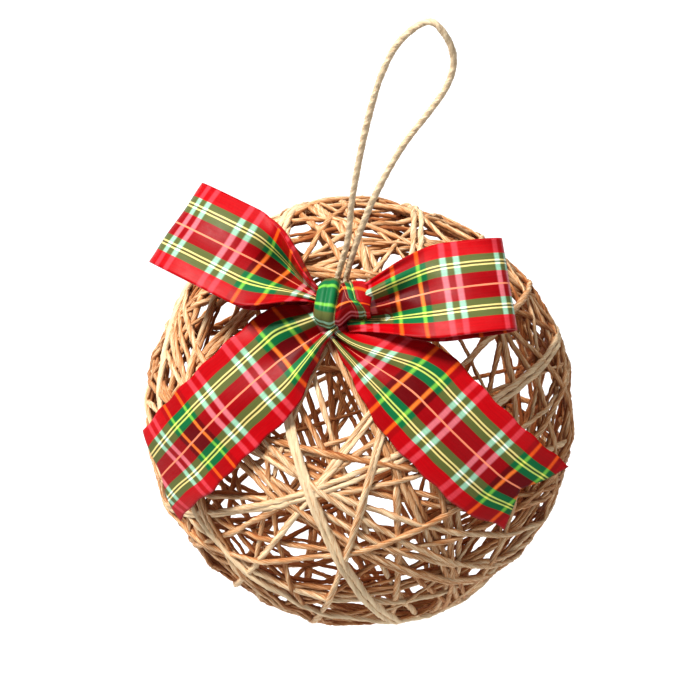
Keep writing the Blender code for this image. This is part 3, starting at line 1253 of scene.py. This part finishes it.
            # Turns laid earlier lie under later ones and get a darker tone. This is painted shade, with a
            # random spread of tone added on top.
            order = rng.uniform(0.0, 2.2)
            tone = 0.24 * order + rng.uniform(-0.05, 0.25)
            turn = Turn(
                pole, rng.uniform(0.56, 0.92), rng.uniform(-0.003, 0.003), rng.uniform(0.0008, 0.0030),
                self.waves(rng), tone)
            if abs(self.miss(pole, self.open_place.pole) + turn.aside) > self.open_reach:
                placed.append((order, turn))
        for course in self.rim_courses:
            placed.append((course.order, Turn(
                course.pole, course.width, 0.0, self.rim_sway, self.waves(rng), course.tone)))
        return [turn for _, turn in sorted(placed, key=lambda item: item[0])]

    def needed_heights(self, line: Sequence[Vector], laid: Sequence[tuple[Vector, float]]) -> list[float]:
        """How high each point of a turn has to be to clear the turns below it.

        Args:
            line: The turn's directions from the ball's centre.
            laid: The directions and heights of the turns that are already wound.

        Returns:
            A height for each point, over the ball's base radius.
        """
        need = [0.0] * self.steps
        if not laid:
            return need
        reach = self.twine.width * self.contact_widths / self.base_radius
        tree = kdtree.KDTree(len(laid))
        for index, (point, _) in enumerate(laid):
            tree.insert(point, index)
        tree.balance()
        for i, point in enumerate(line):
            heading = (line[(i + 1) % self.steps] - line[i - 1]).normalized()
            for _, index, distance in tree.find_range(point, reach):
                other, height = laid[index]
                along = abs((other - point).dot(heading)) / reach
                lift = self.crossing * (1.0 - (distance / reach) ** 2)
                if lift > 0:
                    need[i] = max(need[i], height + lift * (1.0 - self.along_ease * along))
        return need

    def eased(self, need: Sequence[float]) -> list[float]:
        """Heights that reach what is needed with gentle ramps.

        Args:
            need: The needed height at each point.

        Returns:
            The height at each point.
        """
        fall = math.tau * self.base_radius / self.steps * self.slope
        span = math.ceil(self.most_rise * 2.0 / fall)
        ramps = [
            max(need[(i + k) % self.steps] - abs(k) * fall for k in range(-span, span + 1))
            for i in range(self.steps)
        ]
        ramps = [max(value, 0.0) for value in ramps]
        weights = (1, 2, 3, 2, 1)
        return [
            sum(weight * ramps[(i + k - 2) % self.steps] for k, weight in enumerate(weights)) / sum(weights)
            for i in range(self.steps)
        ]

    def routes(self, turns: Sequence[Turn]) -> list[list[Vector]]:
        """The line of each turn, raised over the turns that it crosses.

        Args:
            turns: The turns in winding order.

        Returns:
            The points of each.
        """
        laid: list[tuple[Vector, float]] = []
        routes = []
        for turn in turns:
            line = [turn.direction(i / self.steps) for i in range(self.steps)]
            heights = self.eased(self.needed_heights(line, laid))
            laid += zip(line, heights)
            route = []
            for point, height in zip(line, heights):
                rise = self.most_rise * (1.0 - math.exp(-height / self.most_rise))
                route.append(LAYOUT.centre + point * (self.base_radius + rise))
            routes.append(route)
        return routes

    def build(self) -> list[bpy.types.Object]:
        """Make the ball as several pieces of its winding, and the stray fibres on it.

        Returns:
            The finished pieces.
        """
        turns = self.turns()
        routes = self.routes(turns)
        widths = [turn.width for turn in turns]
        tones = [min(max(turn.tone, 0.0), 1.0) for turn in turns]
        pieces = []
        share = math.ceil(len(routes) / self.piece_count)
        for number in range(self.piece_count):
            own = slice(number * share, (number + 1) * share)
            chosen = routes[own]
            name = f"winding_course_{number + 1}"
            piece = self.twine.spin(name, chosen, widths[own], tones[own], True)
            fibres = self.twine.fibres(f"winding_fibres_{number + 1}", piece, 40 + number)
            for part in (piece, fibres):
                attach(part, "root")
            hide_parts("twine_ball")
            pieces += [piece, fibres]
            log.info(
                "%s: %d turns, %d faces, fibres %d faces", name, len(chosen),
                len(piece.data.polygons), len(fibres.data.polygons),
            )
        return pieces


# The bow

@dataclass(frozen=True)
class Fold:
    """A soft ridge or valley pressed into a ribbon loop's upper layer."""

    reach: float
    across: float
    long: float
    wide: float
    rise: float

    def height(self, reach: float, across: float) -> float:
        """How much it lifts the cloth.

        Args:
            reach: Distance from the knot.
            across: -1 to 1 across the ribbon.

        Returns:
            The lift, in metres.
        """
        away = ((reach - self.reach) / self.long) ** 2 + ((across - self.across) / self.wide) ** 2
        return self.rise * math.exp(-away)


@dataclass(frozen=True)
class Loop:
    """One loop of the bow."""

    name: str
    heading: float
    length: float
    root: float
    pinch: float
    gather_low: float
    gather_high: float
    sag: float
    print_start: float
    folds: tuple[Fold, ...]


@dataclass(frozen=True)
class Tail:
    """One tail of the bow."""

    name: str
    length: float
    heading: float
    tilt: float
    spring: float
    width: float
    pinch: float
    root_reach: float
    root_aside: float
    root_bend: float
    root_flare: float
    gather_low: float
    gather_high: float
    drift: float
    low_end: float
    high_end: float
    pleat: float
    notch: float
    slant: float
    print_start: float
    stretch: float
    squeeze: float


@dataclass(frozen=True)
class Crease:
    """A crease down the knot's front. A slanted one moves aside below the knot's shoulder."""

    place: float
    depth: float
    width: float
    slant: float = 0.0

    def press(self, across: float, high: float, shoulder: float) -> float:
        """How far it presses the cloth in.

        Args:
            across: -1 to 1 across the knot.
            high: -1 to 1 up the knot.
            shoulder: Where the slant starts, on the same scale.

        Returns:
            The depth, in metres.
        """
        away = across - self.place - self.slant * (shoulder - high)
        return self.depth * math.exp(-(away / self.width) ** 2)


@dataclass
class RibbonBow:
    """The bow: a knot, two loops and two tails of one tartan ribbon."""

    finish: TartanFinish = field(default_factory=TartanFinish)
    ribbon_width: float = 0.0250
    cloth: float = 0.00036
    repeat: float = 0.0354
    loop_cup: float = 0.0050
    loop_root: float = 0.0022
    loop_fullness: float = 0.0050
    loop_lean: float = 22.0
    loop_pleat: float = 0.0009
    loop_ripple: float = 0.00045
    loop_dip: float = 0.0024
    loop_dip_reach: float = 0.0070
    tail_lift: float = 0.0027
    tail_pleat_reach: float = 0.024
    tail_ripple: float = 0.0004
    tail_crown: float = 0.0010
    edge_waver: float = 0.00022
    edge_waves: float = 720.0
    print_bend: float = 0.042
    knot_turn: float = 0.0410
    knot_width: float = 0.0132
    knot_height: float = 0.0118
    knot_depth: float = 0.0090
    knot_squareness: float = 3.0
    knot_taper: float = 0.30
    knot_shoulder: float = 0.8
    knot_undercut: float = 0.68
    knot_creases: tuple[Crease, ...] = (
        Crease(-0.20, 0.0019, 0.10), Crease(0.14, 0.0007, 0.07, 0.36), Crease(-0.62, 0.0004, 0.10),
    )
    knot_bands: tuple[tuple[float, float], ...] = (
        (-2.0, 0.10), (-0.80, 0.165), (-0.05, 0.232), (0.0, 0.42), (0.10, 0.60), (0.14, 0.645),
        (0.38, 0.714), (0.42, 0.84), (2.5, 1.0),
    )
    knot_print: tuple[float, float] = (0.18, 1.30)
    loop_rows: int = 150
    tail_rows: int = 110
    columns: int = 36
    knot_rows: int = 120
    knot_columns: int = 60
    loops: tuple[Loop, ...] = (
        Loop(
            "left_loop", heading=159.0, length=0.0480, root=0.0045, pinch=0.0050, gather_low=0.0260,
            gather_high=0.0190, sag=0.0020, print_start=-0.0035, folds=(
                Fold(0.0180, -0.30, 0.0090, 0.40, -0.0072), Fold(0.0170, 0.50, 0.0080, 0.30, 0.0016),
                Fold(0.0120, -1.00, 0.0070, 0.22, 0.0024), Fold(0.0420, -0.2, 0.0060, 0.60, 0.0006))),
        Loop(
            "right_loop", heading=16.0, length=0.0400, root=0.0, pinch=0.0068, gather_low=0.0240,
            gather_high=0.0260, sag=-0.0036, print_start=0.0015, folds=(
                Fold(0.0080, -0.42, 0.0070, 0.34, -0.0060), Fold(0.0100, 0.56, 0.0070, 0.26, 0.0024),
                Fold(0.0200, -0.10, 0.0060, 0.50, -0.0012), Fold(0.0100, -1.00, 0.0110, 0.50, -0.0042))),
    )
    tails: tuple[Tail, ...] = (
        Tail(
            "left_tail", length=0.0675, heading=229.0, tilt=-12.5, spring=1.11, width=0.0238, pinch=0.0096,
            root_reach=0.0045, root_aside=0.0009, root_bend=-0.0026, root_flare=0.0, gather_low=0.0100,
            gather_high=0.0240, drift=-0.0005, low_end=0.0006, high_end=-0.0018, pleat=-0.0040,
            notch=0.0010, slant=0.0058, print_start=0.0010, stretch=1.03, squeeze=0.24),
        Tail(
            "right_tail", length=0.0690, heading=318.0, tilt=18.0, spring=1.24, width=0.0250, pinch=0.0030,
            root_reach=0.0018, root_aside=-0.0060, root_bend=0.0, root_flare=0.0058, gather_low=0.0300,
            gather_high=0.0260, drift=-0.0014, low_end=0.0032, high_end=0.0003, pleat=-0.0030,
            notch=0.0060, slant=0.0, print_start=-0.0081, stretch=1.0, squeeze=0.0),
    )

    def __post_init__(self) -> None:
        """Set up the bow's own directions."""
        self.normal = LAYOUT.bow_normal
        self.right, self.up = side_frame(self.normal)
        self.material = self.finish.material()

    def heading(self, angle: float) -> Vector:
        """Unit vector in the bow's plane."""
        turn = math.radians(angle)
        return self.right * math.cos(turn) + self.up * math.sin(turn)

    def knot_centre(self) -> Vector:
        """Centre of the knot, resting on the ball."""
        return LAYOUT.centre + self.normal * (LAYOUT.ball_radius + LAYOUT.clearance + self.knot_depth / 2)

    def loop_point(self, loop: Loop, along: float, across: float) -> Vector:
        """A point of a ribbon loop: out from the knot, round the fold and back below.

        Args:
            loop: The loop.
            along: Share of the way round it.
            across: -1 to 1 across the ribbon.

        Returns:
            The point.
        """
        phase = math.pi * along
        reach = loop.length * math.sin(phase)
        out = self.heading(loop.heading)
        side = self.normal.cross(out)
        gather = loop.gather_low + (loop.gather_high - loop.gather_low) * (across + 1.0) / 2
        pinched = 1.0 - smoothstep((reach - loop.root) / gather)
        half = (self.ribbon_width - (self.ribbon_width - loop.pinch) * pinched) / 2
        front = math.cos(phase)
        cup = self.loop_cup * pinched * (1.0 - pinched) * 4 * (across ** 2 - 0.5) * front
        pleat = self.loop_pleat * pinched * math.cos(3.4 * math.pi * across + 0.7)
        ripple = self.loop_ripple * math.sin(5.1 * across + 9.0 * along + loop.heading) * (1.0 - pinched)
        height = self.loop_fullness * math.sin(2 * phase) + self.loop_root * front + cup + pleat + ripple
        height += sum(fold.height(reach, across) for fold in loop.folds) * max(front, 0.0)
        height -= self.loop_dip * math.exp(-(reach / self.loop_dip_reach) ** 2) * max(front, 0.0)
        lean = math.radians(self.loop_lean)
        leaning = self.normal * math.cos(lean) - self.up * math.sin(lean)
        aside = across * half + loop.sag * pinched * (1.0 - across) / 2
        return self.knot_centre() + out * reach + leaning * height + side * aside

    def tail_reach(self, tail: Tail, along: float, across: float) -> float:
        """How far along a tail a point is, from its gathered root to its cut end.

        Args:
            tail: The tail.
            along: Share of the way from the root to the end.
            across: -1 to 1 across the ribbon.

        Returns:
            The distance from the knot, in metres.
        """
        cut = tail.slant * across - tail.notch * (1.0 - abs(across))
        return tail.root_reach + along * (tail.length - tail.root_reach) + cut * smoothstep(along)

    def printed_reach(self, tail: Tail, along: float, across: float) -> float:
        """How far along the tartan a point of a tail is. Past the bend, the print may run ahead.

        Args:
            tail: The tail.
            along: Share of the way from the root to the end.
            across: -1 to 1 across the ribbon.

        Returns:
            The distance, in metres.
        """
        reach = self.tail_reach(tail, along, across)
        return reach * tail.stretch + tail.squeeze * max(reach - self.print_bend, 0.0)

    def tail_point(self, tail: Tail, along: float, across: float) -> Vector:
        """A point of a tail: a strip bent round the ball, its outer edge leaning out.

        Args:
            tail: The tail.
            along: Share of the way from the root to the end.
            across: -1 to 1 across the ribbon.

        Returns:
            The point.
        """
        lean = math.radians(tail.tilt)
        out = self.heading(tail.heading)
        side = self.normal.cross(out)
        axis = side * math.cos(lean) + self.normal * math.sin(lean)
        spoke = self.normal * math.cos(lean) - side * math.sin(lean)
        start = LAYOUT.ball_radius + LAYOUT.clearance + self.tail_lift
        bend = start * math.cos(lean) * tail.spring
        distance = self.tail_reach(tail, along, across)
        gather = tail.gather_low + (tail.gather_high - tail.gather_low) * (across + 1.0) / 2
        pinched = 1.0 - smoothstep((distance - tail.root_reach) / gather)
        turn = distance / bend
        centre = LAYOUT.centre + self.normal * start - spoke * bend
        fading = 1.0 - smoothstep((distance - tail.root_reach) / self.tail_pleat_reach)
        lift = tail.pleat / 2 * fading * math.cos(2 * math.pi * across)
        ripple = math.sin(4.0 * across + 130.0 * distance + tail.heading)
        lift += self.tail_ripple * (1.0 - pinched) * ripple
        lift -= self.tail_crown * (1.0 - pinched) * (across ** 2 - 0.4)
        aside = across * (tail.width - (tail.width - tail.pinch) * pinched) / 2
        flare = tail.root_flare * max(across, 0.0) ** 6
        aside += (tail.root_aside + tail.root_bend * across ** 2 + flare) * pinched
        aside += tail.drift * math.sin(math.pi * min(distance / tail.length, 1.0))
        end = smoothstep((distance / tail.length - 0.8) / 0.2)
        aside += (tail.low_end * (1.0 - across) + tail.high_end * (1.0 + across)) / 2 * end
        waver = math.sin(self.edge_waves * distance + 2.0 * across + tail.heading)
        aside += self.edge_waver * across ** 3 * waver
        middle = centre + (spoke * math.cos(turn) + out * math.sin(turn)) * (bend + lift)
        return middle + axis * aside

    def strip(
        self, name: str, rows: int, start: float, point_at: Callable[[float, float], Vector],
        reach_at: Callable[[float, float], float] | None = None,
    ) -> bpy.types.Object:
        """A strip of ribbon with its tartan laid along it.

        Args:
            name: The object's name.
            rows: How many rows of faces.
            start: Where the tartan starts, in metres.
            point_at: The strip's own surface, from the shares along and across.
            reach_at: How far along the tartan a point is, where the rows don't run straight across.

        Returns:
            The strip as a mesh object without thickness.
        """
        shares = [-1.0 + 2.0 * column / self.columns for column in range(self.columns + 1)]
        grid = [[point_at(row / rows, share) for share in shares] for row in range(rows + 1)]
        middle = self.columns // 2
        travelled = [0.0]
        for upper, lower in zip(grid, grid[1:]):
            travelled.append(travelled[-1] + (lower[middle] - upper[middle]).length)

        def place(row: int, column: int) -> tuple[float, float]:
            """The tartan's place at a row and column."""
            reach = reach_at(row / rows, shares[column]) if reach_at else travelled[row]
            return column / self.columns, (reach + start) / self.repeat

        return self.sheet_mesh(name, grid, place)

    def sheet_mesh(
        self, name: str, grid: list[list[Vector]], place: Place, closed: bool = False,
    ) -> bpy.types.Object:
        """A mesh from a grid of points.

        Args:
            name: The object's name.
            grid: Rows of points.
            place: The UV place of a row and column.
            closed: Whether the last row joins the first.

        Returns:
            The mesh object.
        """
        columns = len(grid[0])
        rows = len(grid)
        faces, corners = [], []
        for row in range(rows if closed else rows - 1):
            below = (row + 1) % rows
            for column in range(columns - 1):
                faces.append((
                    row * columns + column, row * columns + column + 1,
                    below * columns + column + 1, below * columns + column,
                ))
                corners += [
                    place(row, column), place(row, column + 1),
                    place(row + 1, column + 1), place(row + 1, column),
                ]
        mesh = bpy.data.meshes.new(name)
        mesh.from_pydata([point for line in grid for point in line], [], faces)
        layer = mesh.uv_layers.new(name="UVMap")
        layer.data.foreach_set("uv", [value for corner in corners for value in corner])
        mesh.materials.append(self.material)
        mesh.shade_smooth()
        obj = bpy.data.objects.new(name, mesh)
        bpy.context.scene.collection.objects.link(obj)
        return obj

    def knot_ring(self, angle: float) -> tuple[float, float]:
        """A point of the knot's rounded section.

        Args:
            angle: Round the knot, from its top over its front.

        Returns:
            How high and how far out it is, each -1 to 1.
        """
        up, out = math.cos(angle), math.sin(angle)
        power = self.knot_squareness
        square = (abs(up) ** power + abs(out) ** power) ** (-1 / power)
        return square * up, square * out

    def knot_point(self, angle: float, x: float) -> Vector:
        """A point of the knot's surface.

        Args:
            angle: Round the knot, from its top over its front.
            x: -1 to 1 across the knot.

        Returns:
            The point.
        """
        high, deep = self.knot_ring(angle)
        taper = 1.0 - self.knot_taper * abs(x) ** 5
        press = sum(crease.press(x, high, self.knot_shoulder) for crease in self.knot_creases)
        full = 1.0 - 0.06 * math.cos(5.0 * x)
        if high < 0.0:
            full = 1.0 - self.knot_undercut * smoothstep((x + 0.25) / 0.60)
        rise = (self.knot_height / 2 * full - press * 0.5) * taper * high
        front = (self.knot_depth / 2 - press * max(math.sin(angle), 0.0)) * taper * deep
        aside = self.right * x * self.knot_width / 2
        return self.knot_centre() + aside + self.up * rise + self.normal * front

    def knot(self) -> bpy.types.Object:
        """The knot: the ribbon gathered in pleats and wrapped once round the middle of the bow.

        Returns:
            The knot as a mesh object without thickness.
        """
        rows, columns = self.knot_rows, self.knot_columns
        angles = [math.tau * row / rows for row in range(rows)]
        shares = [-1.0 + 2.0 * column / columns for column in range(columns + 1)]
        grid = [[self.knot_point(angle, x) for x in shares] for angle in angles]
        heights = [self.knot_ring(angle)[0] for angle in angles]
        middle, slanted = self.knot_creases[:2]
        start, turns = self.knot_print

        def place(row: int, column: int) -> tuple[float, float]:
            """The tartan's place on the gathered ribbon, read from the bands right of the middle crease.

            Args:
                row: The row, round the knot.
                column: The column, across it.

            Returns:
                The place across the ribbon and along one repeat.
            """
            past = shares[column] - middle.place
            if past > 0.0:
                past = max(past - slanted.slant * (self.knot_shoulder - heights[row % rows]), 0.02)
            low = max(band for band in self.knot_bands if band[0] <= past)
            high = min(band for band in self.knot_bands if band[0] > past)
            share = (past - low[0]) / (high[0] - low[0])
            return low[1] + (high[1] - low[1]) * share, start + turns * row / rows

        return self.sheet_mesh("knot", grid, place, closed=True)

    def build(self) -> bpy.types.Object:
        """Returns:
            The finished piece.
        """
        parts = [
            self.strip(loop.name, self.loop_rows, loop.print_start, partial(self.loop_point, loop))
            for loop in self.loops
        ]
        for tail in self.tails:
            parts.append(self.strip(
                tail.name, self.tail_rows, tail.print_start, partial(self.tail_point, tail),
                partial(self.printed_reach, tail),
            ))
        parts.append(self.knot())
        for part in parts:
            thickness = part.modifiers.new("cloth", "SOLIDIFY")
            thickness.thickness = self.cloth
            thickness.offset = 0.0
        depsgraph = bpy.context.evaluated_depsgraph_get()
        for part in parts:
            mesh = bpy.data.meshes.new_from_object(part.evaluated_get(depsgraph), depsgraph=depsgraph)
            part.modifiers.clear()
            part.data = mesh
        bow = parts[0]
        with bpy.context.temp_override(active_object=bow, selected_editable_objects=parts):
            bpy.ops.object.join()
        bow.name = "ribbon_bow_cloth"
        bow.data.name = "ribbon_bow_cloth"
        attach(bow, "root")
        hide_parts("ribbon_bow")
        length = 2 * sum(loop.length for loop in self.loops) + sum(tail.length for tail in self.tails)
        length += self.knot_turn
        log.info("ribbon bow: %.3f m of ribbon, %d faces", length, len(bow.data.polygons))
        return bow


# The studio

@dataclass(frozen=True)
class Lamp:
    """One soft square light that faces the ball, placed from the ball's centre."""

    name: str
    offset: tuple[float, float, float]
    size: float
    power: float
    colour: Colour

    def build(self) -> None:
        """Add the light to the scene."""
        data = bpy.data.lights.new(self.name, "AREA")
        data.size = self.size
        data.energy = self.power
        data.color = self.colour
        lamp = bpy.data.objects.new(self.name, data)
        lamp.location = LAYOUT.centre + Vector(self.offset)
        lamp.rotation_mode = "QUATERNION"
        lamp.rotation_quaternion = (-Vector(self.offset)).to_track_quat("-Z", "Y")
        bpy.context.scene.collection.objects.link(lamp)


@dataclass
class Studio:
    """The camera at the photograph's angle, the floor and the lights."""

    elevation: float = 48.0
    roll: float = 10.06
    distance: float = 0.600
    focal: float = 2259.0
    image_size: float = 700.0
    ball_pixel: tuple[float, float] = (359.5, 411.0)
    sensor: float = 36.0
    floor_drop: float = 0.60
    floor_size: float = 8.0
    lamps: tuple[Lamp, ...] = (
        Lamp("key", (-1.70, -0.25, 2.70), 0.75, 210.0, (1.0, 0.992, 0.985)),
        Lamp("fill", (2.00, -1.40, 1.30), 2.0, 16.0, (0.97, 0.98, 1.0)),
        Lamp("back", (0.30, 2.20, 2.30), 1.8, 30.0, (1.0, 1.0, 1.0)),
    )
    air_colour: Colour = (0.95, 0.97, 1.0)
    air_strength: float = 0.22

    def camera(self) -> bpy.types.Object:
        """Make the camera.

        Returns:
            The camera object.
        """
        lean = math.radians(self.elevation)
        turn = math.radians(self.roll)
        toward = Vector((0.0, -math.cos(lean), math.sin(lean)))
        across = Vector((1.0, 0.0, 0.0))
        upward = toward.cross(across)
        right = across * math.cos(turn) + upward * math.sin(turn)
        up = upward * math.cos(turn) - across * math.sin(turn)
        half = self.image_size / 2
        aside = (half - self.ball_pixel[0]) / self.focal
        above = (self.ball_pixel[1] - half) / self.focal
        aim = (right * aside + up * above - toward).normalized()
        swing = (-toward).rotation_difference(aim).to_matrix().to_4x4()
        data = bpy.data.cameras.new("camera")
        data.sensor_width = self.sensor
        data.lens = self.focal * self.sensor / self.image_size
        data.clip_start = 0.01
        camera = bpy.data.objects.new("camera", data)
        bpy.context.scene.collection.objects.link(camera)
        axes = Matrix((right, up, toward)).transposed().to_4x4()
        camera.matrix_world = Matrix.Translation(LAYOUT.centre + toward * self.distance) @ swing @ axes
        bpy.context.scene.camera = camera
        return camera

    def floor(self) -> bpy.types.Object:
        """Make the floor, well below the hanging ball.

        Returns:
            The floor.
        """
        half = self.floor_size / 2
        level = LAYOUT.centre.z - LAYOUT.ball_radius - self.floor_drop
        mesh = bpy.data.meshes.new("studio_floor")
        mesh.from_pydata(
            [(-half, -half, level), (half, -half, level), (half, half, level), (-half, half, level)],
            [], [(0, 1, 2, 3)],
        )
        mesh.materials.append(FloorFinish().material())
        floor = bpy.data.objects.new("studio_floor", mesh)
        bpy.context.scene.collection.objects.link(floor)
        return floor

    def lights(self) -> None:
        """Add the soft lights and the pale surroundings."""
        for lamp in self.lamps:
            lamp.build()
        world = bpy.data.worlds.new("studio_air")
        world.use_nodes = True
        air = world.node_tree.nodes["Background"]
        air.inputs["Color"].default_value = (*self.air_colour, 1.0)
        air.inputs["Strength"].default_value = self.air_strength
        bpy.context.scene.world = world
        bpy.context.scene.view_settings.view_transform = "Standard"


def main() -> None:
    """Make the camera, the cord, the ball, the bow and the studio."""
    logging.basicConfig(level=logging.INFO, format="%(message)s")
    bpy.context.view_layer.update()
    studio = Studio()
    studio.camera()
    # The first colour is painted shade for the grooves between the plies.
    loop_finish = TwineFinish(
        "loop_twine_jute", linear(146, 104, 66), linear(184, 144, 102), linear(226, 196, 156),
        linear(244, 224, 190), 0.80, groove_shade_share=0.16, inward_painted_shade=0.0,
    )
    HangingLoop(Twine(
        0.0017, loop_finish, Lay.FREE, twist_pitch=0.0058, unevenness=0.32, fray=0.00030,
        ply_depth=0.04, fibre_density=30000.0, fibre_length=0.0022, fibre_width=0.00008,
    )).build()
    # The first colour is painted shade for the grooves between the plies.
    ball_finish = TwineFinish(
        "ball_twine_jute", linear(84, 40, 14), linear(136, 66, 25), linear(197, 134, 80),
        linear(238, 211, 170), 0.82,
    )
    TwineBall(Twine(0.0018, ball_finish, Lay.GLUED)).build()
    RibbonBow().build()
    studio.floor()
    studio.lights()


if __name__ == "__main__":
    main()
